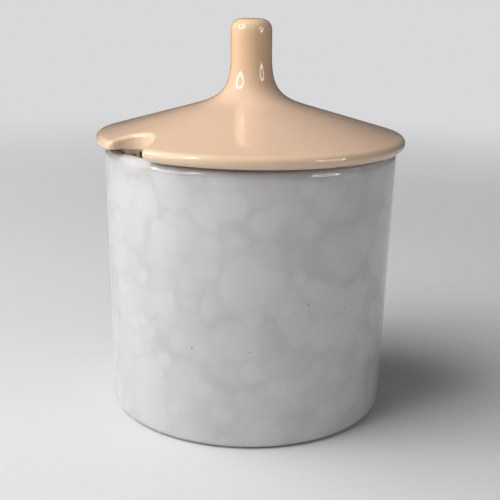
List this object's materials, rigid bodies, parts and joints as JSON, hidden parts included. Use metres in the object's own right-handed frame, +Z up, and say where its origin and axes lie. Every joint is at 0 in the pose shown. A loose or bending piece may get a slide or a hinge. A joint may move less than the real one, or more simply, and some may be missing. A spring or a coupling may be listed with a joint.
{
  "type": "jam pot",
  "caption": "Straight-sided ceramic jam pot with a loose conical lid that has a stalk knob, a locating flange and a spoon notch.",
  "frame": {"origin": "centre of the ring that the pot stands on, on the table", "axes": "+Z up along the axis of the pot, lid and knob; the front of the object faces -Y and the spoon notch is at the front left"},
  "size_m": [0.0886, 0.0886, 0.1121],
  "materials": {
    "pot_glaze": "glossy pale grey-white glaze with a soft mottle",
    "lid_glaze": "glossy peach glaze"
  },
  "bodies": {
    "pot_body": {"pot": "pot_glaze"},
    "lid_body": {"lid": "lid_glaze"}
  },
  "joints": [
    {"name": "lid_lift", "type": "slide", "parent": "pot_body", "child": "lid_body", "axis": [0, 0, 1], "range_m": [0, 0.06]}
  ]
}
